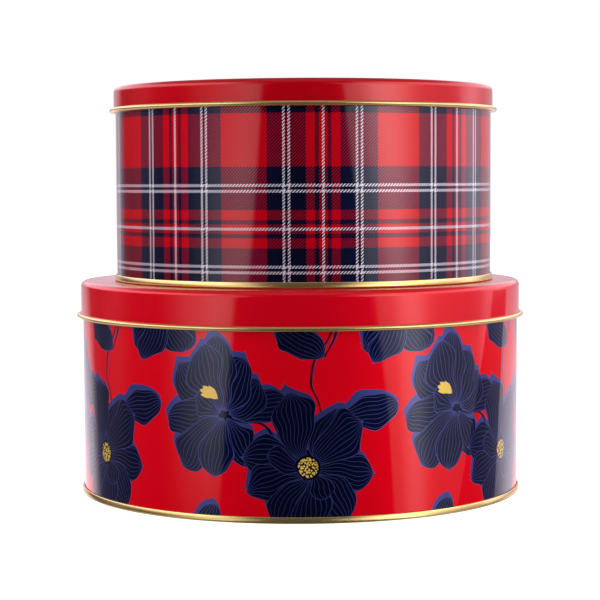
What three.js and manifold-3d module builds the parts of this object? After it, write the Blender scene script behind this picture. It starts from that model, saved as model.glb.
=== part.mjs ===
// A stacked pair of round tinplate cookie tins: a small tin standing on the lid of a large one.
// Millimetres, +Z up. The origin is the centre of the large tin's foot, on the surface it stands on.
//
// Each tin is three sheet-metal pieces, as it comes off a tin maker's line:
//   wall  a printed sheet rolled round, lock seamed at the back, its top edge curled inwards
//   base  a stamped panel, double seamed round the wall's bottom edge
//   lid   a drawn cap that slips over the wall, its bottom edge curled outwards
// Every piece is drawn as the centreline of its sheet, thickened, and turned about the tin's axis.

import * as THREE from "three";
import { mergeVertices } from "three/addons/utils/BufferGeometryUtils.js";
import Module from "manifold-3d";

const wasm = await Module();
wasm.setup();

// The two tins. The diameter is over the lid's curl, and the height is from foot to lid top.
const LARGE = { name: "large", diameter: 220, height: 103.2, lidDepth: 17.9 };
const SMALL = { name: "small", diameter: 190, height: 94, lidDepth: 12.5 };
const STACK_OFFSET = 1.9; // the small tin was set down this far off the large tin's axis, along +X
const STACK_GAP = 0.05; // air under the small tin's foot, so that the two tins don't share a face

// Sheet and forming dimensions, the same on both tins.
const SHEET = 0.25;
const HALF = SHEET / 2;
const ROUND_STEPS = 48; // flats round a tin; a multiple of 4 keeps the full diameter along X and Y
const CURL_FLATS = 7; // flats round a curled edge
const CURL_TURN = (CURL_FLATS * Math.PI) / 4; // how far round it curls: an eighth short of a full turn
const CORNER_FLATS = 3; // flats round a drawn corner
const LID_STANDOFF = 0.9; // from the wall's outer face to the lid skirt's outer face
const LID_CURL = 2.3; // diameter over the lid's curled edge
const LID_CORNER = 2.4; // centreline radius where the lid's top turns down into its skirt
const LID_STEP_INSET = 20; // from the skirt to the shallow step stamped into the lid's top
const LID_STEP_DEPTH = 0.6;
const LID_STEP_RUN = 1.2; // width of that step's slope
const WALL_CURL = 2.2; // diameter over the wall's curled top edge
const SEAT_GAP = 0.2; // between the wall's top edge and the underside of the lid
const SEAM_HEIGHT = 3; // of the double seam that makes the foot
const SEAM_AIR = 0.13; // between neighbouring layers of the double seam
const BASE_RISE = 4; // of the base panel above the foot
const BASE_CORNER = 1.5; // centreline radius where the base panel turns down
const BASE_STEP_SHARE = 0.72; // radius of the step stamped into the base, as a share of the wall's
const BASE_STEP_HEIGHT = 0.8;
const BASE_STEP_RUN = 1.6; // width of that step's slope
const LOCK_SEAM_WIDTH = 5; // of the folded strip up the back of the wall, inside
const LOCK_SEAM_LAYERS = 3; // of sheet, inside the wall's own
const LOCK_SEAM_MARGIN = 0.4; // between its ends and the base below or the curl above

// Radius of the wall's outer face: the lid's skirt and the curl on it stand outside that.
function wallRadius(tin) {
  return tin.diameter / 2 - (LID_CURL - SHEET) - LID_STANDOFF;
}

const at = (r, z) => new THREE.Vector2(r, z);

// Points on an arc about (r, z), from one angle to another.
function arc(r, z, radius, from, to, steps) {
  return Array.from({ length: steps + 1 }, (_, i) => {
    const angle = from + ((to - from) * i) / steps;
    return at(r + radius * Math.cos(angle), z + radius * Math.sin(angle));
  });
}

// The closed outline of a sheet whose middle follows the centreline, with mitred corners.
function thicken(centreline) {
  const normals = centreline.slice(1).map((point, i) => {
    const along = point.clone().sub(centreline[i]).normalize();
    return at(-along.y, along.x);
  });
  const offset = (side) =>
    centreline.map((point, i) => {
      const before = normals[Math.max(i - 1, 0)];
      const after = normals[Math.min(i, normals.length - 1)];
      const mitre = before.clone().add(after).divideScalar(1 + before.dot(after));
      return point.clone().addScaledVector(mitre, side * HALF);
    });
  return [...offset(1), ...offset(-1).reverse()];
}

// Turns a sheet about +Z. A piece that starts on the axis, such as a panel, is closed there.
function turned(centreline) {
  const outline = thicken(centreline);
  if (centreline[0].x > 0) outline.push(outline[0].clone());
  if (THREE.ShapeUtils.isClockWise(outline)) outline.reverse();
  return new THREE.LatheGeometry(outline, ROUND_STEPS).rotateX(Math.PI / 2);
}

// The lid: top with a shallow step, rounded corner, skirt, and the edge curled outwards.
function lidCentreline(tin) {
  const skirt = wallRadius(tin) + LID_STANDOFF - HALF;
  const top = tin.height - HALF;
  const stepped = top - LID_STEP_DEPTH;
  const step = skirt - LID_STEP_INSET;
  const roll = (LID_CURL - SHEET) / 2;
  const curlHeight = tin.height - tin.lidDepth + LID_CURL / 2;
  return [
    at(0, stepped),
    at(step - LID_STEP_RUN, stepped),
    at(step, top),
    ...arc(skirt - LID_CORNER, top - LID_CORNER, LID_CORNER, Math.PI / 2, 0, CORNER_FLATS),
    ...arc(skirt + roll, curlHeight, roll, Math.PI, Math.PI + CURL_TURN, CURL_FLATS),
  ];
}

// The wall: the edge curled inwards, the plain wall, and the hook inside the double seam.
function wallCentreline(tin) {
  const wall = wallRadius(tin) - HALF;
  const roll = (WALL_CURL - SHEET) / 2;
  const curlHeight = tin.height - SHEET - SEAT_GAP - WALL_CURL / 2;
  const fold = SHEET + SEAM_AIR + HALF;
  const hook = wall + 2 * (SHEET + SEAM_AIR);
  return [
    ...arc(wall - roll, curlHeight, roll, CURL_TURN, 0, CURL_FLATS),
    at(wall, fold),
    at(hook, fold),
    at(hook, SEAM_HEIGHT - SHEET - SEAM_AIR),
  ];
}

// The base: panel with a raised step, rounded corner, and the double seam wrapped round the hook.
function baseCentreline(tin) {
  const layer = SHEET + SEAM_AIR;
  const chuck = wallRadius(tin) - HALF - layer;
  const seam = chuck + 4 * layer;
  const step = wallRadius(tin) * BASE_STEP_SHARE;
  const panel = BASE_RISE - HALF;
  return [
    at(0, panel + BASE_STEP_HEIGHT),
    at(step - BASE_STEP_RUN, panel + BASE_STEP_HEIGHT),
    at(step, panel),
    ...arc(chuck - BASE_CORNER, panel - BASE_CORNER, BASE_CORNER, Math.PI / 2, 0, CORNER_FLATS),
    at(chuck, HALF),
    at(seam, HALF),
    at(seam, SEAM_HEIGHT - HALF),
    at(seam - 2 * layer, SEAM_HEIGHT - HALF),
    at(seam - 2 * layer, 2 * layer),
  ];
}

function solidOf(geometry) {
  const bare = new THREE.BufferGeometry()
    .setIndex(geometry.index)
    .setAttribute("position", geometry.getAttribute("position"));
  const merged = mergeVertices(bare, 1e-3);
  const mesh = new wasm.Mesh({
    numProp: 3,
    vertProperties: merged.getAttribute("position").array,
    triVerts: new Uint32Array(merged.index.array),
  });
  return new wasm.Manifold(mesh);
}

function geometryOf(solid) {
  const mesh = solid.getMesh();
  return new THREE.BufferGeometry()
    .setAttribute("position", new THREE.BufferAttribute(mesh.vertProperties, 3))
    .setIndex(new THREE.BufferAttribute(mesh.triVerts, 1));
}

// The folded strip of the lock seam, on the inside of the wall at the back, at +Y.
function lockSeam(tin) {
  const thickness = LOCK_SEAM_LAYERS * SHEET;
  const bottom = BASE_RISE + LOCK_SEAM_MARGIN;
  const top = tin.height - SHEET - SEAT_GAP - WALL_CURL - LOCK_SEAM_MARGIN;
  const bite = SHEET / 5; // buried in the wall's inner face, so that the two join into one sheet
  return new THREE.BoxGeometry(LOCK_SEAM_WIDTH, thickness, top - bottom).translate(
    0,
    wallRadius(tin) - SHEET + bite - thickness / 2,
    (top + bottom) / 2,
  );
}

function wallGeometry(tin) {
  const sheet = solidOf(turned(wallCentreline(tin)));
  return geometryOf(sheet.add(solidOf(lockSeam(tin))));
}

const materials = {
  redLacquer: new THREE.MeshStandardMaterial({ color: 0xb80a1e, roughness: 0.22, metalness: 0.2 }),
  goldLacquer: new THREE.MeshStandardMaterial({ color: 0xc9a24a, roughness: 0.25, metalness: 1 }),
  tartanPrint: new THREE.MeshStandardMaterial({ color: 0x7a1026, roughness: 0.2, metalness: 0.1 }),
  floralPrint: new THREE.MeshStandardMaterial({ color: 0xc81022, roughness: 0.2, metalness: 0.1 }),
};

function piece(tin, part, geometry, material) {
  const mesh = new THREE.Mesh(geometry, material);
  mesh.name = `${tin.name}_${part}`;
  return mesh;
}

function cookieTin(tin, print) {
  return new THREE.Group().add(
    piece(tin, "wall", wallGeometry(tin), print),
    piece(tin, "base", turned(baseCentreline(tin)), materials.goldLacquer),
    piece(tin, "lid", turned(lidCentreline(tin)), materials.redLacquer),
  );
}

const largeTin = cookieTin(LARGE, materials.floralPrint);
const smallTin = cookieTin(SMALL, materials.tartanPrint);
smallTin.position.set(STACK_OFFSET, 0, LARGE.height + STACK_GAP);

const group = new THREE.Group().add(largeTin, smallTin);
export default group;
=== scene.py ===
"""Two round tinplate cookie tins, stacked: a small tartan tin standing on the lid of a large floral one.

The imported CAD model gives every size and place. This script draws each sheet-metal piece again with smooth
turns and curls, prints the walls, lacquers the lids, and lights them as a pair of softboxes would.
Lengths inside the drawing functions are millimetres; Blender's own are metres.
"""

import math

import bpy
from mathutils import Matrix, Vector

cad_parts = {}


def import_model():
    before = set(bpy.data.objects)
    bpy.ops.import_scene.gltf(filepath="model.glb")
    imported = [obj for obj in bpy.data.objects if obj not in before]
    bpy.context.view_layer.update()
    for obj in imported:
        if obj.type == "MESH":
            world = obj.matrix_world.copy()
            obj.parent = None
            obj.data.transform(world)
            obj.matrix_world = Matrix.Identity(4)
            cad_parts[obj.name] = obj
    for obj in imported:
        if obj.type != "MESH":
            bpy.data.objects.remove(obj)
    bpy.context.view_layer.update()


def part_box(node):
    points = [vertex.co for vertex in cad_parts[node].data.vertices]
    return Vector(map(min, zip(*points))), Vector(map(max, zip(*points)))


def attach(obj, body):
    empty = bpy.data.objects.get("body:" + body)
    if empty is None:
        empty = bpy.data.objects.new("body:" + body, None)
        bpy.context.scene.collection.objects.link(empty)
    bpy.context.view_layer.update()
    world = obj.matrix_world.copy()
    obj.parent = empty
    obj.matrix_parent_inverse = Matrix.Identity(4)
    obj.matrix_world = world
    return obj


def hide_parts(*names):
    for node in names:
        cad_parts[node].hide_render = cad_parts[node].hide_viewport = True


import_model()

MM = 0.001

# Sheet and forming dimensions, the same on both tins.
SHEET = 0.25
LID_STANDOFF = 0.9  # from the wall's outer face to the lid skirt's outer face
LID_CURL = 2.3  # diameter over the lid's curled edge
LID_CORNER = 2.4  # centreline radius where the lid's top turns down into its skirt
LID_STEP_INSET = 20  # from the skirt to the shallow step stamped into the lid's top
LID_STEP_DEPTH = 0.6
LID_STEP_RUN = 1.2
LID_STEP_EASE = 0.12  # share of the step's depth where it eases into the flat
WALL_CURL = 2.2  # diameter over the wall's curled top edge
SEAT_GAP = 0.2  # between the wall's top edge and the underside of the lid
SEAM_HEIGHT = 3  # of the double seam that makes the foot
SEAM_AIR = 0.13  # between neighbouring layers of the double seam
SEAM_BEND = 0.6  # centreline radius of the seam's bottom edges
SEAM_LEAN = 0.3  # how far the seam's side leans in by its top
SEAM_HOOK = 1.9  # height of the end of the wall's hook inside the seam
BASE_RISE = 4  # of the base panel above the foot
BASE_CORNER = 1.5
BASE_STEP_SHARE = 0.72  # radius of the step stamped into the base, as a share of the wall's
BASE_STEP_HEIGHT = 0.8
BASE_STEP_RUN = 1.6
LOCK_SEAM_WIDTH = 5  # of the folded strip up the back of the wall, inside
LOCK_SEAM_LAYERS = 3
LOCK_SEAM_MARGIN = 0.4
LOCK_SEAM_BEND = 0.3
LOCK_SEAM_TAPER = 0.9  # how much of its section is left at the very ends
GROOVE_DEPTH = 0.16  # of the line pressed beside that strip, on the outside
GROOVE_HALF = 0.6  # half that line's width

QUARTER = math.pi / 2
CURL_TURN = 7 * math.pi / 4  # how far round an edge curls: an eighth short of a full turn
ROUND_STEPS = 360
ARC_STEP = math.radians(12)
SHARP_TURN = math.radians(35)
STRAIGHT = 0.5  # a straight stretch's own points start this close to its bends, so that it shades flat
ON_AXIS = 1e-6


# ---------------------------------------------------------------- turned sheet metal

class Tin:
    """One tin's driving sizes, read from its CAD nodes."""

    def __init__(self, name):
        low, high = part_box(name + "_lid")
        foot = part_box(name + "_base")[0].z
        self.name = name
        self.centre = ((low + high) / 2).xy / MM
        self.foot = foot / MM
        self.height = (high.z - foot) / MM
        self.lid_depth = (high.z - low.z) / MM
        self.wall = (high.x - low.x) / MM / 2 - (LID_CURL - SHEET) - LID_STANDOFF


def arc(r, z, radius, start, end):
    """Points round (r, z) from one angle to another."""
    steps = max(2, math.ceil(abs(end - start) / ARC_STEP))
    angles = [start + (end - start) * i / steps for i in range(steps + 1)]
    return [(r + radius * math.cos(a), z + radius * math.sin(a)) for a in angles]


def thicken(path, thickness=SHEET):
    """The closed outline of a sheet whose middle follows the path."""
    normals = []
    for (r0, z0), (r1, z1) in zip(path, path[1:]):
        length = math.hypot(r1 - r0, z1 - z0)
        normals.append(Vector((-(z1 - z0) / length, (r1 - r0) / length)))
    outline = []
    for side in (thickness / 2, -thickness / 2):
        edge = []
        for i, point in enumerate(path):
            before = normals[max(i - 1, 0)]
            after = normals[min(i, len(normals) - 1)]
            mitre = (before + after) / (1 + before.dot(after))
            edge.append((point[0] + side * mitre.x, point[1] + side * mitre.y))
        outline += edge if side > 0 else edge[::-1]
    return outline


def turn_angle(before, here, after):
    """How sharply an outline turns at a point."""
    first = math.atan2(here[1] - before[1], here[0] - before[0])
    second = math.atan2(after[1] - here[1], after[0] - here[0])
    return abs(math.remainder(second - first, math.tau))


def lathe(name, outline, tin, azimuths=None, dent=None):
    """Turns a closed outline of (radius, height) about the tin's axis, with its faces pointing out."""
    area = sum(a[0] * b[1] - b[0] * a[1] for a, b in zip(outline, outline[1:] + outline[:1]))
    if area < 0:
        outline = outline[::-1]
    azimuths = azimuths or [math.tau * i / ROUND_STEPS for i in range(ROUND_STEPS)]
    vertices, rows = [], []
    for r, z in outline:
        if r < ON_AXIS:
            rows.append([len(vertices)] * len(azimuths))
            vertices.append(place(tin, 0, 0, z))
            continue
        rows.append(list(range(len(vertices), len(vertices) + len(azimuths))))
        for azimuth in azimuths:
            radius = r - dent(r, z, azimuth) if dent else r
            vertices.append(place(tin, radius, azimuth, z))
    faces, sharp = [], set()
    for i, row in enumerate(rows):
        following = rows[(i + 1) % len(rows)]
        if row[0] == row[1] and following[0] == following[1]:
            continue
        for j in range(len(azimuths)):
            k = (j + 1) % len(azimuths)
            corners = [row[j], row[k], following[k], following[j]]
            faces.append(tuple(dict.fromkeys(corners)))
        around = (outline[i - 1], outline[i], outline[(i + 1) % len(outline)])
        if row[0] != row[1] and turn_angle(*around) > SHARP_TURN:
            sharp.update((min(a, b), max(a, b)) for a, b in zip(row, row[1:] + row[:1]))
    mesh = bpy.data.meshes.new(name)
    mesh.from_pydata(vertices, [], faces)
    mesh.shade_smooth()
    marks = mesh.attributes.new("sharp_edge", "BOOLEAN", "EDGE")
    marks.data.foreach_set("value", [tuple(sorted(e.vertices)) in sharp for e in mesh.edges])
    piece = bpy.data.objects.new(name, mesh)
    bpy.context.scene.collection.objects.link(piece)
    return piece


def place(tin, radius, azimuth, z):
    """A point in metres. Azimuth 0 is the front, at -Y, and a quarter turn is at +X."""
    x = tin.centre.x + radius * math.sin(azimuth)
    y = tin.centre.y - radius * math.cos(azimuth)
    return (x * MM, y * MM, (tin.foot + z) * MM)


def lid_shell_path(tin):
    """The lid's top with its shallow step, the corner, and the skirt down to the curl."""
    skirt = tin.wall + LID_STANDOFF - SHEET / 2
    top = tin.height - SHEET / 2
    stepped = top - LID_STEP_DEPTH
    step = skirt - LID_STEP_INSET
    ease = LID_STEP_RUN / 3
    return [
        (0, stepped),
        (step / 3, stepped),
        (step / 1.5, stepped),
        (step - LID_STEP_RUN - ease, stepped),
        (step - LID_STEP_RUN, stepped + LID_STEP_DEPTH * LID_STEP_EASE),
        (step - LID_STEP_RUN / 2, stepped + LID_STEP_DEPTH / 2),
        (step, top - LID_STEP_DEPTH * LID_STEP_EASE),
        (step + ease, top),
        (skirt - LID_CORNER - STRAIGHT, top),
        *arc(skirt - LID_CORNER, top - LID_CORNER, LID_CORNER, QUARTER, 0),
        (skirt, top - LID_CORNER - STRAIGHT),
        (skirt, tin.height - tin.lid_depth + LID_CURL / 2),
    ]


def lid_curl_path(tin):
    """The skirt's bottom edge, curled outwards so that the inside's gold shows."""
    roll = (LID_CURL - SHEET) / 2
    centre = tin.wall + LID_STANDOFF - SHEET / 2 + roll
    height = tin.height - tin.lid_depth + LID_CURL / 2
    return arc(centre, height, roll, math.pi, math.pi + CURL_TURN)


def wall_path(tin):
    """The wall's curled top edge, the wall, and the hook folded into the double seam."""
    wall = tin.wall - SHEET / 2
    roll = (WALL_CURL - SHEET) / 2
    curl_height = tin.height - SHEET - SEAT_GAP - WALL_CURL / 2
    fold = SHEET + SEAM_AIR + SHEET / 2
    bend = SHEET + SEAM_AIR
    return [
        *arc(wall - roll, curl_height, roll, CURL_TURN, 0),
        (wall, curl_height - STRAIGHT),
        (wall, fold + bend + STRAIGHT),
        *arc(wall + bend, fold + bend, bend, math.pi, 2 * math.pi),
        (wall + 2 * bend, SEAM_HOOK),
    ]


def base_path(tin):
    """The base panel, its corner, and the double seam wrapped round the wall's hook.

    The seam's side is a wide arc that leans in towards its top.
    """
    layer = SHEET + SEAM_AIR
    chuck = tin.wall - SHEET / 2 - layer
    seam = chuck + 4 * layer
    step = tin.wall * BASE_STEP_SHARE
    panel = BASE_RISE - SHEET / 2
    low, high = SHEET / 2, SEAM_HEIGHT - SHEET / 2
    bend = layer - SEAM_LEAN / 2
    rise = high - bend - low - SEAM_BEND
    sweep = (rise ** 2 + SEAM_LEAN ** 2) / (2 * SEAM_LEAN)
    lean = math.asin(rise / sweep)
    return [
        (0, panel + BASE_STEP_HEIGHT),
        (step / 2, panel + BASE_STEP_HEIGHT),
        (step - BASE_STEP_RUN, panel + BASE_STEP_HEIGHT),
        (step - BASE_STEP_RUN / 2, panel + BASE_STEP_HEIGHT / 2),
        (step, panel),
        *arc(chuck - BASE_CORNER, panel - BASE_CORNER, BASE_CORNER, QUARTER, 0),
        *arc(chuck + SEAM_BEND, low + SEAM_BEND, SEAM_BEND, math.pi, 3 * QUARTER),
        *arc(seam - SEAM_BEND, low + SEAM_BEND, SEAM_BEND, -QUARTER, 0),
        *arc(seam - sweep, low + SEAM_BEND, sweep, lean * 0.1, lean * 0.9),
        *arc(seam - SEAM_LEAN - bend, high - bend, bend, lean, math.pi),
        (seam - 2 * layer, 2 * layer),
    ]


def groove(tin):
    """The fine line up the back where the lock seam's fold was pressed: how deep it is at a point."""
    def depth(r, z, azimuth):
        off = abs((azimuth - math.pi) * tin.wall - LOCK_SEAM_WIDTH / 2) / GROOVE_HALF
        on_wall = SEAM_HEIGHT + 1 < z < tin.height - WALL_CURL - 1
        return GROOVE_DEPTH * (1 + math.cos(math.pi * off)) / 2 if off < 1 and on_wall else 0.0
    return depth


def groove_azimuths(tin):
    """Even steps round the tin, with finer ones across the groove."""
    even = [math.tau * i / ROUND_STEPS for i in range(ROUND_STEPS)]
    fine = [math.pi + (LOCK_SEAM_WIDTH / 2 + GROOVE_HALF * i / 3) / tin.wall for i in range(-4, 5)]
    return sorted(even + fine)


def lock_seam(tin):
    """The folded strip inside the wall at the back, where its two ends are hooked together."""
    half, thickness, bend = LOCK_SEAM_WIDTH / 2, LOCK_SEAM_LAYERS * SHEET, LOCK_SEAM_BEND
    bite = SHEET / 5
    section = [(-half, -bite), *arc(-half + bend, thickness - bend, bend, math.pi, QUARTER)]
    section += [*arc(half - bend, thickness - bend, bend, QUARTER, 0), (half, -bite)]
    bottom = BASE_RISE + LOCK_SEAM_MARGIN
    top = tin.height - SHEET - SEAT_GAP - WALL_CURL - LOCK_SEAM_MARGIN
    vertices = []
    ends = ((bottom, LOCK_SEAM_TAPER), (bottom + bend, 1), (top - bend, 1), (top, LOCK_SEAM_TAPER))
    for z, shrink in ends:
        for u, depth in section:
            radius = tin.wall - SHEET - depth * shrink
            vertices.append(place(tin, radius, math.pi + u * shrink / radius, z))
    count = len(section)
    faces = [tuple(range(count)), tuple(range(4 * count - 1, 3 * count - 1, -1))]
    for level in range(3):
        for i in range(count):
            j = (i + 1) % count
            low, high = level * count, (level + 1) * count
            faces.append((low + j, low + i, high + i, high + j))
    mesh = bpy.data.meshes.new(tin.name + "_lock_seam")
    mesh.from_pydata(vertices, [], faces)
    mesh.shade_smooth()
    mesh.set_sharp_from_angle(angle=SHARP_TURN)
    piece = bpy.data.objects.new(tin.name + "_lock_seam", mesh)
    bpy.context.scene.collection.objects.link(piece)
    return piece


# ---------------------------------------------------------------- formulas as shader nodes

class Field:
    """A number that varies over a surface: a node's output, with + - * / and the rest as Math nodes."""

    def __init__(self, tree, socket):
        self.tree = tree
        self.socket = socket

    def math(self, operation, *others, clamp=False):
        node = self.tree.nodes.new("ShaderNodeMath")
        node.operation = operation
        node.use_clamp = clamp
        for socket, value in zip(node.inputs, (self, *others)):
            plug(self.tree, socket, value)
        return Field(self.tree, node.outputs[0])

    def __add__(self, other):
        return self.math("ADD", other)

    def __sub__(self, other):
        return self.math("SUBTRACT", other)

    def __rsub__(self, other):
        return self.math("MULTIPLY_ADD", -1, other)

    def __mul__(self, other):
        return self.math("MULTIPLY", other)

    def __truediv__(self, other):
        return self.math("DIVIDE", other)

    def __lt__(self, other):
        return self.math("LESS_THAN", other)

    def __gt__(self, other):
        return self.math("GREATER_THAN", other)

    def __abs__(self):
        return self.math("ABSOLUTE")

    def least(self, other):
        return self.math("MINIMUM", other)

    def most(self, other):
        return self.math("MAXIMUM", other)

    def power(self, exponent):
        return self.math("POWER", exponent)

    def sine(self):
        return self.math("SINE")

    def fract(self):
        return self.math("FRACT")

    def mixed(self, other, share):
        """This where share is 0, and other where it is 1."""
        return self + (other - self) * share


def plug(tree, socket, value):
    """Puts a number, a colour or another node's output into a socket."""
    if isinstance(value, Field):
        tree.links.new(value.socket, socket)
    elif isinstance(value, bpy.types.NodeSocket):
        tree.links.new(value, socket)
    else:
        socket.default_value = value


class Formula:
    """A formula as a node group: drawn once from a function of Fields, and used many times."""

    def __init__(self, function, inputs):
        self.group = bpy.data.node_groups.new(function.__name__, "ShaderNodeTree")
        for name in inputs:
            self.group.interface.new_socket(name, in_out="INPUT", socket_type="NodeSocketFloat")
        start = self.group.nodes.new("NodeGroupInput")
        results = function(*(Field(self.group, socket) for socket in start.outputs[:len(inputs)]))
        for i in range(len(results)):
            self.group.interface.new_socket(f"result_{i}", in_out="OUTPUT", socket_type="NodeSocketFloat")
        end = self.group.nodes.new("NodeGroupOutput")
        for socket, value in zip(end.inputs, results):
            plug(self.group, socket, value)

    def __call__(self, tree, *values):
        node = tree.nodes.new("ShaderNodeGroup")
        node.node_tree = self.group
        for socket, value in zip(node.inputs, values):
            plug(tree, socket, value)
        return [Field(tree, socket) for socket in node.outputs]


def between(value, low, high):
    """0 below low, 1 above high, and a straight slope from one to the other."""
    return ((value - low) / (high - low)).math("ADD", 0.0, clamp=True)


def unrolled(tree, tin):
    """Millimetres round the wall from the front, positive to the right, and millimetres above the foot."""
    place_node = tree.nodes.new("ShaderNodeTexCoord")
    split = tree.nodes.new("ShaderNodeSeparateXYZ")
    tree.links.new(place_node.outputs["Object"], split.inputs[0])
    x = Field(tree, split.outputs[0]) - tin.centre.x * MM
    y = Field(tree, split.outputs[1]) - tin.centre.y * MM
    around = x.math("ARCTAN2", y * -1) * tin.wall
    above = Field(tree, split.outputs[2]) / MM - tin.foot
    return around, above


def combined(tree, x, y, z=0.0):
    node = tree.nodes.new("ShaderNodeCombineXYZ")
    for socket, value in zip(node.inputs, (x, y, z)):
        plug(tree, socket, value)
    return node.outputs[0]


def grains(tree, x, y, size):
    """How far each point is from the nearest of many scattered points, in multiples of their spacing."""
    node = tree.nodes.new("ShaderNodeTexVoronoi")
    node.voronoi_dimensions = "2D"
    node.inputs["Scale"].default_value = 1 / size
    plug(tree, node.inputs["Vector"], combined(tree, x, y))
    return Field(tree, node.outputs["Distance"])


def srgb(red, green, blue):
    """A colour given as it looks on a screen, from 0 to 255, as Blender's linear one."""
    def linear(c):
        c /= 255
        return c / 12.92 if c <= 0.04045 else ((c + 0.055) / 1.055) ** 2.4
    return (linear(red), linear(green), linear(blue), 1)


def overprint(tree, under, over, share):
    """One ink printed over another where share is 1."""
    node = tree.nodes.new("ShaderNodeMix")
    node.data_type = "RGBA"
    plug(tree, node.inputs["Factor"], share)
    plug(tree, node.inputs[6], under)
    plug(tree, node.inputs[7], over)
    return node.outputs[2]


# ---------------------------------------------------------------- the tartan

# Millimetres. A repeat starts in the middle of a wide red band.
TARTAN_REPEATS = 8  # round the wall
TARTAN_RISE = 79.8  # from one repeat to the next up the wall
TARTAN_START = -27.4  # from the front to a repeat's start
TARTAN_TOP = 66.55  # from the foot up to a repeat's start
WIDE_RED, NAVY_BAND, NARROW_RED = 22.3, 18.1, 16.0
FINE_WHITE, FINE_NAVY = 1.2, 1.9
PAIR_SPACING, TRIPLE_SPACING = 2.45, 5.8
TWILL_PITCH = 0.76  # half of the twill's repeat
INK_SPREAD = 0.1  # past each edge of a navy thread, as a share of the twill's repeat

TARTAN_RED = srgb(206, 3, 26)
TARTAN_NAVY = srgb(16, 21, 58)
TARTAN_WHITE = srgb(226, 222, 240)


def stripe(x, centre, width):
    return abs(x - centre) < width / 2


def sett(x, period):
    """One thread direction's colours over a repeat that starts in the middle of the wide red band."""
    scale = period / (WIDE_RED + 2 * NAVY_BAND + NARROW_RED)
    x = abs(x.math("WRAP", period / 2, -period / 2)) / scale
    band = WIDE_RED / 2 + NAVY_BAND / 2
    middle = WIDE_RED / 2 + NAVY_BAND + NARROW_RED / 2
    navy = stripe(x, band, NAVY_BAND).most(stripe(x, middle - TRIPLE_SPACING / 2, FINE_NAVY))
    pair = abs(x - band)
    white = stripe(pair, PAIR_SPACING / 2, FINE_WHITE).most(stripe(x, middle, FINE_WHITE))
    return navy, white


def tartan(tree, tin):
    """Threads of three colours crossing in a twill: each crossing shows its warp or its weft.

    The navy ink has spread a little, so its threads print wider than the red ones.
    """
    u, z = unrolled(tree, tin)
    period = math.tau * tin.wall / TARTAN_REPEATS
    warp_navy, warp_white = sett(u - TARTAN_START, period)
    weft_navy, weft_white = sett(z - TARTAN_TOP, TARTAN_RISE)
    twill = abs(((u - z) / (TWILL_PITCH * 2)).fract() - 0.5)
    white = warp_white.mixed(weft_white, twill < 0.25)
    warp_ink = warp_navy * (twill > 0.25 - INK_SPREAD)
    navy = warp_ink.most(weft_navy * (twill < 0.25 + INK_SPREAD))
    colour = overprint(tree, overprint(tree, TARTAN_RED, TARTAN_NAVY, navy), TARTAN_WHITE, white)
    return colour, navy * (1 - white)


# ---------------------------------------------------------------- the flowers

# A blade's half width goes as t^BASE_POWER * (1 - t^TIP_POWER) along it, scaled to 1 where it is widest,
# with ripples, and with a small hard point at its tip.
FLORAL_REPEATS = 6
VEIN_WIDTH = 0.22
VEIN_SPACING = 2.2
EDGE_WIDTH = 0.32
SHADOW_RIGHT, SHADOW_UP = -0.9, 2.3
BASE_POWER, TIP_POWER = 0.75, 4.2
WIDEST = (BASE_POWER / (BASE_POWER + TIP_POWER)) ** (1 / TIP_POWER)
PEAK = 1 / (WIDEST ** BASE_POWER * (1 - WIDEST ** TIP_POWER))
POINT_START, POINT_WIDTH = 0.97, 1.6
POINT_HARDNESS = 8
RIPPLES, RIPPLE_SIZE = 11, 0.15
VEIN_WAVES, VEIN_WANDER = 6, 0.3
SWAYS = [(0.2, 0.9, 1.2), (0.5, 2.2, 0.3)]  # waves per mm, phase, and size in mm

FLORAL_RED = srgb(236, 2, 28)
FLORAL_NAVY = srgb(12, 18, 56)
FLORAL_BLUE = srgb(72, 80, 158)
FLORAL_VEIN = srgb(76, 84, 158)
FLORAL_GOLD = srgb(246, 206, 100)

# Blades are petals and leaves. Each is where it springs from, its direction in degrees anticlockwise
# from the right, its length, its half width, and how far it bends to its left, as a share of its length.
OPEN_FLOWER = [
    (3, 4, 70, 23, 6.5, -0.12),
    (-3, 1, 164, 27, 9, 0.14),
    (3, -1, -14, 27, 8.6, 0.16),
    (-3, -3, -156, 27, 8.8, -0.14),
    (3, -4, -46, 28, 9, -0.14),
    (-1, 3, 112, 31, 10.2, -0.16),
    (-1, -4, -120, 28, 9.4, 0.14),
    (1, -4, -80, 28, 8.8, -0.1),
    (2, 2, 30, 29, 10.4, 0.16),
    (-3, 0, 178, 15, 6, -0.22),
    (2, -3, -72, 14, 5, 0.22),
]
TALL_FLOWER = [
    (10, -9, 32, 23, 8, 0.22),
    (6, -9, 138, 31, 9.6, -0.14),
    (8, -8, 60, 29, 7.8, 0.14),
    (7, -8, 90, 35, 9, 0.1),
    (6, -8, 114, 32, 9, -0.12),
    (5, -10, 173, 27, 9, 0.18),
    (6, -11, -140, 29, 9.2, 0.16),
    (9, -11, -48, 23, 8, -0.16),
    (7, -11, -92, 28, 8.6, -0.16),
    (5, -10, 152, 15, 5.4, -0.24),
]
HANGING_FLOWER = [
    (0, 0, -154, 24, 7.6, 0.16),
    (0, 0, -28, 21, 7.6, -0.16),
    (0, 0, -64, 20, 8, 0.16),
    (0, 0, -114, 24, 8.6, -0.14),
]
LEAVES = [
    (18, 46, 22, 27, 8.8, -0.2),
    (-31, 48, 22, 27, 8.2, -0.2),
    (11, 74, 144, 27, 8, 0.14),
    (-46, -16, 78, 25, 7.5, -0.1),
]
STEMS = [
    (24, 94, 8, 50, -9),
    (-33, 46, -9, 34, 5),
    (24, 94, 11, 74, -2),
]
STEM_WIDTH = 0.9
STEM_PARTNER = 2.4
OPEN_FLOWER_AT = (3, 26)
TALL_FLOWER_AT = (-43, 57)
HANGING_FLOWER_AT = (46, 92)
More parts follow.
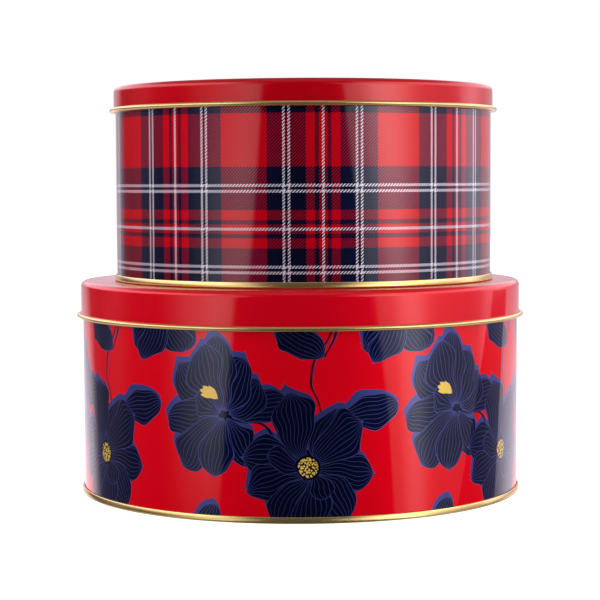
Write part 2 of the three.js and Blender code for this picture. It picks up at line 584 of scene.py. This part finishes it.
TALL_HEART_AT = (-35.5, 47)
HEART = 5.5
TALL_CORE, OPEN_CORE = 4.2, 8  # dark under the petals where they meet
STAMENS_RADIUS = 4.5
STAMEN_SPACING, STAMEN_SHARE = 1.05, 0.42
TUFT = [
    (4, -3, 158, 8, 1.3, 0.1),
    (4, -3, 142, 8.6, 1.3, 0.1),
    (4, -3, 125, 8, 1.3, 0.1),
    (4.5, -3, 108, 6.6, 1.2, 0.1),
]


def blade_shape(u, z, base_u, base_z, cosine, sine, length, half_width, bend, phase):
    """Along a blade (0 to 1), across it (-1 to 1 inside it), and its half width there in mm."""
    du, dz = u - base_u, z - base_z
    along = (du * cosine + dz * sine) / length
    inner = along.most(0.002).least(0.998)
    aside = dz * cosine - du * sine - inner * inner * bend * length
    wave = (inner * RIPPLES + phase + (aside > 0)).sine() * inner * RIPPLE_SIZE + 1
    body = (inner / POINT_START).least(1)
    full = body.power(BASE_POWER) * (1 - body.power(TIP_POWER)) * wave * PEAK
    width = full.most((1 - inner) * POINT_WIDTH * body.power(POINT_HARDNESS)) * half_width
    return along, aside / width, width


def within(along, across):
    return (abs(across) < 1) * (along > 0) * (along < 1)


def blade(u, z, base_u, base_z, cosine, sine, length, half_width, bend, phase, navy, lines, shadow):
    """Prints a petal or leaf: navy inside, fine veins along it, a thin edge, and its shadow."""
    shape = (base_u, base_z, cosine, sine, length, half_width, bend, phase)
    along, across, width = blade_shape(u, z, *shape)
    inside = within(along, across)
    veins = half_width / VEIN_SPACING
    waver = (along * VEIN_WAVES + phase).sine() * VEIN_WANDER
    off_vein = abs((across * veins + waver).fract() - 0.5) * width / veins
    off_edge = (1 - abs(across)) * width
    drawn = (off_vein < VEIN_WIDTH / 2).most(off_edge < EDGE_WIDTH)
    shadow_along, shadow_across, _ = blade_shape(u - SHADOW_RIGHT, z - SHADOW_UP, *shape)
    cast = within(shadow_along, shadow_across)
    return navy.most(inside), lines.mixed(drawn, inside), shadow.most(cast)


def stem(u, z, from_u, from_z, to_u, to_z, bow, navy, shadow):
    """Prints a thin stalk from one point to another, bowed to one side, and a thinner one beside it."""
    across_u, across_z = to_u - from_u, to_z - from_z
    squared = across_u * across_u + across_z * across_z
    du, dz = u - from_u, z - from_z
    along = (du * across_u + dz * across_z) / squared
    aside = (dz * across_u - du * across_z) / squared.math("SQRT") - along * (1 - along) * bow * 4
    partner = aside + (along * STEM_PARTNER - STEM_PARTNER)
    return (
        navy.most(within(along, aside / (STEM_WIDTH / 2))),
        shadow.most(within(along, partner / (STEM_WIDTH / 4))),
    )


def local(u, z, origin, tin):
    """Coordinates about a motif's own origin, repeated evenly round the wall."""
    half_repeat = math.pi * tin.wall / FLORAL_REPEATS
    return (u - origin[0]).math("WRAP", half_repeat, -half_repeat), z - origin[1]


def swayed(u, z, tin):
    """Bends the whole drawing a little, the same in every repeat, as a hand-drawn line wanders."""
    repeat = FLORAL_REPEATS / tin.wall
    for per_mm, per_repeat, size in SWAYS:
        turns = round(per_mm / repeat) * repeat
        u, z = u + (z * per_mm + per_repeat).sine() * size, z + (u * turns + per_repeat).sine() * size
    return u, z


def disc(u, z, centre, radius, tin):
    du, dz = local(u, z, centre, tin)
    return (du * du + dz * dz) < radius * radius


def floral(tree, tin):
    print_blade = Formula(blade, (
        "u", "z", "base_u", "base_z", "cosine", "sine", "length", "half_width", "bend", "phase",
        "navy", "lines", "shadow"))
    print_stem = Formula(stem, (
        "u", "z", "from_u", "from_z", "to_u", "to_z", "bow", "navy", "shadow"))

    def print_blades(blades, origin, inks):
        here = local(u, z, origin, tin)
        for base_u, base_z, degrees, length, half_width, bend in blades:
            angle = math.radians(degrees)
            shape = (base_u, base_z, math.cos(angle), math.sin(angle), length, half_width, bend, degrees)
            inks = print_blade(tree, *here, *shape, *inks)
        return inks

    u, z = swayed(*unrolled(tree, tin), tin)
    navy, shadow = 0.0, 0.0
    for stalk in STEMS:
        navy, shadow = print_stem(tree, *local(u, z, (0, 0), tin), *stalk, navy, shadow)
    for centre, radius in ((TALL_HEART_AT, TALL_CORE), (OPEN_FLOWER_AT, OPEN_CORE)):
        navy = disc(u, z, centre, radius, tin).most(navy)
    inks = navy, 0.0, shadow
    inks = print_blades(LEAVES, (0, 0), inks)
    inks = print_blades(HANGING_FLOWER, HANGING_FLOWER_AT, inks)
    inks = print_blades(TALL_FLOWER, TALL_FLOWER_AT, inks)
    inks = print_blades(OPEN_FLOWER, OPEN_FLOWER_AT, inks)
    navy, lines, shadow = inks
    tuft, _, _ = print_blades(TUFT, TALL_FLOWER_AT, (0.0, 0.0, 0.0))

    heart = disc(u, z, OPEN_FLOWER_AT, HEART, tin)
    dots = grains(tree, u, z, STAMEN_SPACING) < STAMEN_SHARE
    stamens = disc(u, z, OPEN_FLOWER_AT, STAMENS_RADIUS, tin) * dots

    colour = overprint(tree, FLORAL_RED, FLORAL_BLUE, shadow)
    colour = overprint(tree, colour, FLORAL_NAVY, navy.most(heart))
    colour = overprint(tree, colour, FLORAL_VEIN, lines * (1 - heart))
    gold = stamens.most(tuft)
    return overprint(tree, colour, FLORAL_GOLD, gold), navy.most(heart).most(shadow) * (1 - gold)


# ---------------------------------------------------------------- materials

GOLD = srgb(250, 202, 110)
# The small lid's red is the large lid's red darkened: painted shade for the weaker light that reaches the
# upper tin.
LID_RED_WITH_PAINTED_SHADE = {"large": srgb(228, 1, 30), "small": srgb(200, 1, 22)}
BARE_MARGIN = 5  # width of the unprinted strip over the wall's seam
UNEVENNESS = 0.00004  # metres, of the rolled sheet
PRINT_ROLLING, LID_ROLLING, STREAKS = (0.09, 0.004), (0.05, 0.01), (0.9, 0.03)  # per mm, round and up
PRINT_METAL, DARK_INK_METAL = 0.3, 0.45
PRINT_ROUGHNESS, VARNISH_ROUGHNESS = 0.34, 0.03
LACQUER_METAL, LACQUER_ROUGHNESS = 0.3, 0.36
SKIRT_ROUGHNESS, STREAK_ROUGHNESS, TOP_ROUGHNESS = 0.04, 0.05, 0.12
GOLD_ROUGHNESS, MOTTLE_ROUGHNESS, MOTTLE_SCALE = 0.18, 0.08, 250.0
FLAT_ENOUGH = 0.9  # upward part of a face's normal from which it starts to count as the lid's top


def new_material(name):
    material = bpy.data.materials.new(name)
    material.use_nodes = True
    tree = material.node_tree
    tree.nodes.clear()
    shader = tree.nodes.new("ShaderNodeBsdfPrincipled")
    output = tree.nodes.new("ShaderNodeOutputMaterial")
    tree.links.new(shader.outputs[0], output.inputs[0])
    return material, tree, shader


def noise(tree, vector, scale, detail=2.0):
    node = tree.nodes.new("ShaderNodeTexNoise")
    node.inputs["Scale"].default_value = scale
    node.inputs["Detail"].default_value = detail
    plug(tree, node.inputs["Vector"], vector)
    return Field(tree, node.outputs[0])


def unevenness(tree, u, z, per_mm, detail=2.0):
    """Noise over the unrolled sheet, stretched along the way it was rolled or drawn."""
    return noise(tree, combined(tree, u * per_mm[0], z * per_mm[1]), 1.0, detail)


def bumped(tree, height, distance):
    node = tree.nodes.new("ShaderNodeBump")
    node.inputs["Distance"].default_value = distance
    plug(tree, node.inputs["Height"], height)
    return node.outputs[0]


def varnished(name, tin, artwork):
    """Translucent inks on bright tinplate, under a clear gloss varnish.

    The dark inks let more of the metal's sheen through. The sheet is bare along its seam, at the back, and
    rolling has left it very slightly uneven.
    """
    material, tree, shader = new_material(name)
    colour, dark_ink = artwork(tree, tin)
    u, z = unrolled(tree, tin)
    bare = abs(u) > math.pi * tin.wall - BARE_MARGIN / 2
    rolling = unevenness(tree, u, z, PRINT_ROLLING)
    plug(tree, shader.inputs["Base Color"], overprint(tree, colour, GOLD, bare))
    plug(tree, shader.inputs["Metallic"], (dark_ink * DARK_INK_METAL + PRINT_METAL).most(bare))
    plug(tree, shader.inputs["Roughness"], PRINT_ROUGHNESS)
    plug(tree, shader.inputs["Specular IOR Level"], 0.0)
    plug(tree, shader.inputs["Coat Weight"], 1.0)
    plug(tree, shader.inputs["Coat Roughness"], VARNISH_ROUGHNESS)
    plug(tree, shader.inputs["Coat Normal"], bumped(tree, rolling, UNEVENNESS))
    return material


def facing_up(tree):
    """1 on the flat of a lid's top, 0 on its skirt."""
    geometry = tree.nodes.new("ShaderNodeNewGeometry")
    split = tree.nodes.new("ShaderNodeSeparateXYZ")
    tree.links.new(geometry.outputs["Normal"], split.inputs[0])
    return between(Field(tree, split.outputs[2]), FLAT_ENOUGH, 1)


def red_lacquer(name, tin, colour):
    """Satin red lacquer on the drawn lid: duller on top, and faintly streaked down the skirt by drawing."""
    material, tree, shader = new_material(name)
    u, z = unrolled(tree, tin)
    rolling = unevenness(tree, u, z, LID_ROLLING)
    streaks = unevenness(tree, u, z, STREAKS, detail=4.0)
    # For the small lid this colour is darkened, as painted shade for the weaker light on the upper tin.
    plug(tree, shader.inputs["Base Color"], colour)
    plug(tree, shader.inputs["Metallic"], LACQUER_METAL)
    plug(tree, shader.inputs["Roughness"], LACQUER_ROUGHNESS)
    plug(tree, shader.inputs["Specular IOR Level"], 0.0)
    plug(tree, shader.inputs["Coat Weight"], 1.0)
    roughness = streaks * STREAK_ROUGHNESS + SKIRT_ROUGHNESS + facing_up(tree) * TOP_ROUGHNESS
    plug(tree, shader.inputs["Coat Roughness"], roughness)
    plug(tree, shader.inputs["Coat Normal"], bumped(tree, rolling, UNEVENNESS))
    return material


def gold_lacquer(name):
    """Gold lacquer on bright tinplate, rolled and curled: a soft mirror with a faint mottle."""
    material, tree, shader = new_material(name)
    place_node = tree.nodes.new("ShaderNodeTexCoord")
    mottle = noise(tree, place_node.outputs["Object"], MOTTLE_SCALE)
    plug(tree, shader.inputs["Base Color"], GOLD)
    plug(tree, shader.inputs["Metallic"], 1.0)
    plug(tree, shader.inputs["Roughness"], mottle * MOTTLE_ROUGHNESS + GOLD_ROUGHNESS)
    return material


# ---------------------------------------------------------------- the pieces

def dress(piece, materials, chooser=None):
    for material in materials:
        piece.data.materials.append(material)
    if chooser:
        for polygon in piece.data.polygons:
            polygon.material_index = chooser(polygon)


def outward(tin):
    """Tells a sheet's outside from its inside, by how far each face looks away from the tin's axis."""
    def test(polygon):
        centre, normal = polygon.center / MM, polygon.normal
        radial = Vector((centre.x - tin.centre.x, centre.y - tin.centre.y, 0)).normalized()
        return radial.dot(normal)
    return test


def is_outer(polygon, tin):
    """True on the wall's own outer face, which leaves out its curl and the hook at its bottom."""
    centre = polygon.center / MM
    return math.hypot(centre.x - tin.centre.x, centre.y - tin.centre.y) > tin.wall - SHEET * 0.4


def build_tin(name, artwork, body, lid_body):
    tin = Tin(name)
    gold = bpy.data.materials.get("gold_lacquer") or gold_lacquer("gold_lacquer")
    printed = varnished(f"{artwork.__name__}_print", tin, artwork)
    red = red_lacquer(f"{name}_red_lacquer", tin, LID_RED_WITH_PAINTED_SHADE[name])
    facing = outward(tin)

    wall = lathe(name + "_wall_sheet", thicken(wall_path(tin)), tin, groove_azimuths(tin), groove(tin))
    dress(wall, [gold, printed], lambda p: int(facing(p) > 0.5 and is_outer(p, tin)))
    base = lathe(name + "_base_pan", thicken(base_path(tin)), tin)
    dress(base, [gold])
    shell = lathe(name + "_lid_shell", thicken(lid_shell_path(tin)), tin)
    dress(shell, [gold, red], lambda p: int(facing(p) > 0.02 or p.normal.z > 0.3))
    curl = lathe(name + "_lid_curl", thicken(lid_curl_path(tin)), tin)
    dress(curl, [gold])
    seam = lock_seam(tin)
    dress(seam, [gold])

    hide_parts(name + "_wall")
    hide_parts(name + "_base")
    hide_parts(name + "_lid")
    for piece in (wall, base, seam):
        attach(piece, body)
    for piece in (shell, curl):
        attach(piece, lid_body)


# ---------------------------------------------------------------- the studio

# What stands round the tins, as their gloss mirrors it: degrees from the camera's side, and brightness.
# Each side has a softbox with a clean inner edge, a dark gap, and then the white wall behind.
LEFT_SIDE = [
    (0, 0.02), (27, 0.02), (29.5, 1.15), (34, 1.35), (38, 1.4), (43, 1.2), (48, 1.0), (53, 0.85),
    (59, 0.6), (65, 0.35), (71, 0.15), (77, 0.04), (96, 0.05), (108, 0.17), (118, 0.12), (128, 0.05),
    (140, 0.07), (150, 1.0), (180, 1.2),
]
RIGHT_SIDE = [
    (0, 0.02), (29, 0.02), (31.5, 1.0), (39, 1.2), (44, 1.9), (49, 2.6), (54, 2.8), (59, 2.5),
    (64, 1.8), (69, 1.1), (76, 0.72), (95, 0.52), (104, 0.6), (112, 1.3), (120, 1.4), (132, 1.1),
    (149, 1.0), (180, 1.0),
]
SIDE_PEAK = 3.0

# Degrees that the softboxes' edges lean round for each degree upwards, and where the lean dies out.
LEFT_SLANT, RIGHT_SLANT = -1.42, -2.2
NEAR = (45, 70)
NEAR_TOP = 8
FAR_SLANT = 1.8
FAR = (116, 126)
FAR_TOP, FAR_DEPTH = -3, 7
BACKDROP = (122, 136)

# How each side fades from the table up, and again where the soft light above it starts.
FOOT_OF_SIDES = (-10, -5)
LEFT_AT_FOOT, LEFT_RISE = 0.25, 0.75
LEFT_TOP, LEFT_TOP_LOSS = (-1, 6), 0.3
RIGHT_AT_FOOT, RIGHT_RISE = 0.5, 0.3
RIGHT_TOP, RIGHT_TOP_RISE = (-4, 1), 0.4
BACKDROP_AT_FOOT, BACKDROP_LOSS = 1.5, 0.9

# The dark gap low on the right, between its softbox and the wall behind: top, and how its edges lean.
GAP_TOP = -3.2
GAP_START, GAP_START_SLANT = 119, 4.5
GAP_END, GAP_END_SLANT = 135, 2
GAP_DEPTH = 0.93

# Above the softboxes there is soft light at the sides, and below them the table; all in degrees upwards.
SIDE_TOP = (4, 11)
UPPER_TOP = (28, 40)
UPPER_SIDES = (25, 50)
UPPER_BACK = (125, 150)
UPPER_LIGHT, UPPER_DARK, UPPER_BACK_LOSS = 2.0, 0.04, 0.6
OVERHEAD = 0.3
FLOOR_HORIZON, FLOOR_BLUR = -11, 1.5
FLOOR_SIDES = (40, 90)
FLOOR_LIGHT, FLOOR_DARK = 0.5, 0.05

# The light that falls on matt surfaces, less of it from overhead, and the tints of front and back.
AMBIENT = 0.6
AMBIENT_TOP = (10, 50)
AMBIENT_LOSS = 0.6
WARM, COOL = (1.0, 0.97, 0.93, 1), (1.0, 0.87, 0.97, 1)
COOLER = (75, 105)
WHITE = (1, 1, 1, 1)
FLOOR_GLOW = 0.85
FLOOR_DROP = 0.00005  # metres under the foot

# Area lights: azimuth from the camera's side, distance, height, width and height in metres, and radiance.
LIGHTS = {
    "right_key": (62, 1.3, 0.5, 0.8, 1.2, 3.2),
    "left_fill": (-72, 1.3, 0.5, 0.8, 1.2, 2.0),
    "left_edge": (-108, 1.3, 0.3, 0.6, 1.0, 2.6),
    "right_edge": (112, 1.3, 0.3, 0.6, 1.0, 2.2),
    "top_fill": (0, 0.5, 1.6, 1.2, 1.2, 0.2),
    "back_fill": (180, 1.6, 1.0, 1.2, 1.2, 0.8),
}
LIGHTS_AIM = Vector((0, 0, 0.1))

CAMERA_AT = (0, -0.9224, 0.1511)
CAMERA_PITCH = 3.64  # degrees down
CAMERA_ROLL = -0.25
LENS = 111.7


def softbox(name, azimuth, distance, height, width, tall, radiance):
    """A rectangular light that faces the tins, and that their gloss doesn't mirror."""
    data = bpy.data.lights.new(name, "AREA")
    data.shape = "RECTANGLE"
    data.size, data.size_y = width, tall
    data.energy = radiance * math.pi * width * tall
    light = bpy.data.objects.new(name, data)
    bpy.context.scene.collection.objects.link(light)
    angle = math.radians(azimuth)
    light.location = (distance * math.sin(angle), -distance * math.cos(angle), height)
    aim = LIGHTS_AIM - light.location
    light.rotation_euler = aim.to_track_quat("-Z", "Y").to_euler()
    light.visible_camera = False
    light.visible_glossy = False


def ramp(tree, value, stops, end, peak):
    """A brightness that goes through the stops as value goes from 0 to end."""
    node = tree.nodes.new("ShaderNodeValToRGB")
    plug(tree, node.inputs[0], value / end)
    elements = node.color_ramp.elements
    while len(elements) < len(stops):
        elements.new(1.0)
    for element, (position, level) in zip(elements, stops):
        element.position = position / end
        element.color = (level / peak, level / peak, level / peak, 1)
    return Field(tree, node.outputs[0]) * peak


def walls(tree, turned, raised, on_right):
    """The brightness of the softboxes and the wall behind, as far as SIDE_TOP degrees up."""
    near = raised.most(FLOOR_HORIZON).least(NEAR_TOP) * (1 - between(turned, *NEAR))
    far = (raised.least(FAR_TOP) - FAR_TOP).most(-FAR_DEPTH) * between(turned, *FAR) * FAR_SLANT
    left = ramp(tree, turned - near * LEFT_SLANT - far, LEFT_SIDE, 180, SIDE_PEAK)
    right = ramp(tree, turned - near * RIGHT_SLANT - far, RIGHT_SIDE, 180, SIDE_PEAK)
    risen = between(raised, *FOOT_OF_SIDES)
    left_fade = risen * LEFT_RISE + LEFT_AT_FOOT - between(raised, *LEFT_TOP) * LEFT_TOP_LOSS
    right_fade = risen * RIGHT_RISE + RIGHT_AT_FOOT + between(raised, *RIGHT_TOP) * RIGHT_TOP_RISE
    backdrop_fade = BACKDROP_AT_FOOT - between(raised, FLOOR_HORIZON, FAR_TOP) * BACKDROP_LOSS
    fade = left_fade.mixed(right_fade, on_right).mixed(backdrop_fade, between(turned, *BACKDROP))
    above_gap = raised - GAP_TOP
    past_start = turned > above_gap * GAP_START_SLANT + GAP_START
    before_end = turned < above_gap * GAP_END_SLANT + GAP_END
    gap = past_start * before_end * (above_gap < 0) * on_right
    return left.mixed(right, on_right) * (1 - gap * GAP_DEPTH) * fade


def surroundings(tree):
    """The brightness that a mirror would see in each direction, how far round from the camera's side that
    direction is, and the brightness that matt surfaces get from it instead."""
    direction = tree.nodes.new("ShaderNodeTexCoord")
    split = tree.nodes.new("ShaderNodeSeparateXYZ")
    tree.links.new(direction.outputs["Generated"], split.inputs[0])
    x, y, z = (Field(tree, socket) for socket in split.outputs)
    degrees = 180 / math.pi
    round_from_front = x.math("ARCTAN2", y * -1) * degrees
    raised = z.math("ARCSINE") * degrees
    turned = abs(round_from_front)
    upper = between(turned, *UPPER_SIDES) * UPPER_LIGHT + UPPER_DARK
    upper = upper - between(turned, *UPPER_BACK) * UPPER_BACK_LOSS
    upper = upper.mixed(OVERHEAD, between(raised, *UPPER_TOP))
    table = between(turned, *FLOOR_SIDES) * FLOOR_LIGHT + FLOOR_DARK
    level = walls(tree, turned, raised, round_from_front > 0)
    level = level.mixed(upper, between(raised, *SIDE_TOP))
    level = level.mixed(table, 1 - between(raised, FLOOR_HORIZON - FLOOR_BLUR, FLOOR_HORIZON))
    ambient = (1 - between(raised, *AMBIENT_TOP) * AMBIENT_LOSS) * AMBIENT
    return level, turned, ambient


def world():
    """Mirrors see the surroundings, matt surfaces get the even ambient light, and the camera sees white."""
    sky = bpy.data.worlds.new("studio")
    bpy.context.scene.world = sky
    sky.use_nodes = True
    sky.cycles.sampling_method = "NONE"
    tree = sky.node_tree
    path = tree.nodes.new("ShaderNodeLightPath")
    seen = Field(tree, path.outputs["Is Camera Ray"])
    scattered = Field(tree, path.outputs["Is Diffuse Ray"])
    brightness, turned, ambient = surroundings(tree)
    strength = brightness.mixed(ambient, scattered).mixed(1.0, seen)
    background = tree.nodes["Background"]
    tint = overprint(tree, WARM, COOL, between(turned, *COOLER))
    plug(tree, background.inputs["Color"], overprint(tree, tint, WHITE, scattered.most(seen)))
    plug(tree, background.inputs["Strength"], strength)


def floor():
    """A pale paper sheet that the camera sees a little brighter, so that it meets the white behind it."""
    bpy.ops.mesh.primitive_plane_add(size=8, location=(0, 0, -FLOOR_DROP))
    sheet = bpy.context.object
    sheet.name = "floor"
    material, tree, shader = new_material("floor_paper")
    path = tree.nodes.new("ShaderNodeLightPath")
    plug(tree, shader.inputs["Base Color"], (0.9, 0.9, 0.9, 1))
    plug(tree, shader.inputs["Roughness"], 0.9)
    plug(tree, shader.inputs["Emission Color"], WHITE)
    plug(tree, shader.inputs["Emission Strength"], Field(tree, path.outputs["Is Camera Ray"]) * FLOOR_GLOW)
    sheet.data.materials.append(material)
    sheet.visible_glossy = False


def studio():
    bpy.context.scene.view_settings.view_transform = "Standard"
    world()
    floor()
    for name, light in LIGHTS.items():
        softbox(name, *light)


def camera():
    data = bpy.data.cameras.new("camera")
    data.sensor_width = 36
    data.lens = LENS
    data.clip_start = 0.01
    data.clip_end = 50
    view = bpy.data.objects.new("camera", data)
    bpy.context.scene.collection.objects.link(view)
    view.location = CAMERA_AT
    view.rotation_euler = (math.radians(90 - CAMERA_PITCH), 0, 0)
    view.rotation_euler.rotate_axis("Z", math.radians(CAMERA_ROLL))
    bpy.context.scene.camera = view


build_tin("large", floral, "large_tin", "large_lid")
build_tin("small", tartan, "small_tin", "small_lid")
studio()
camera()
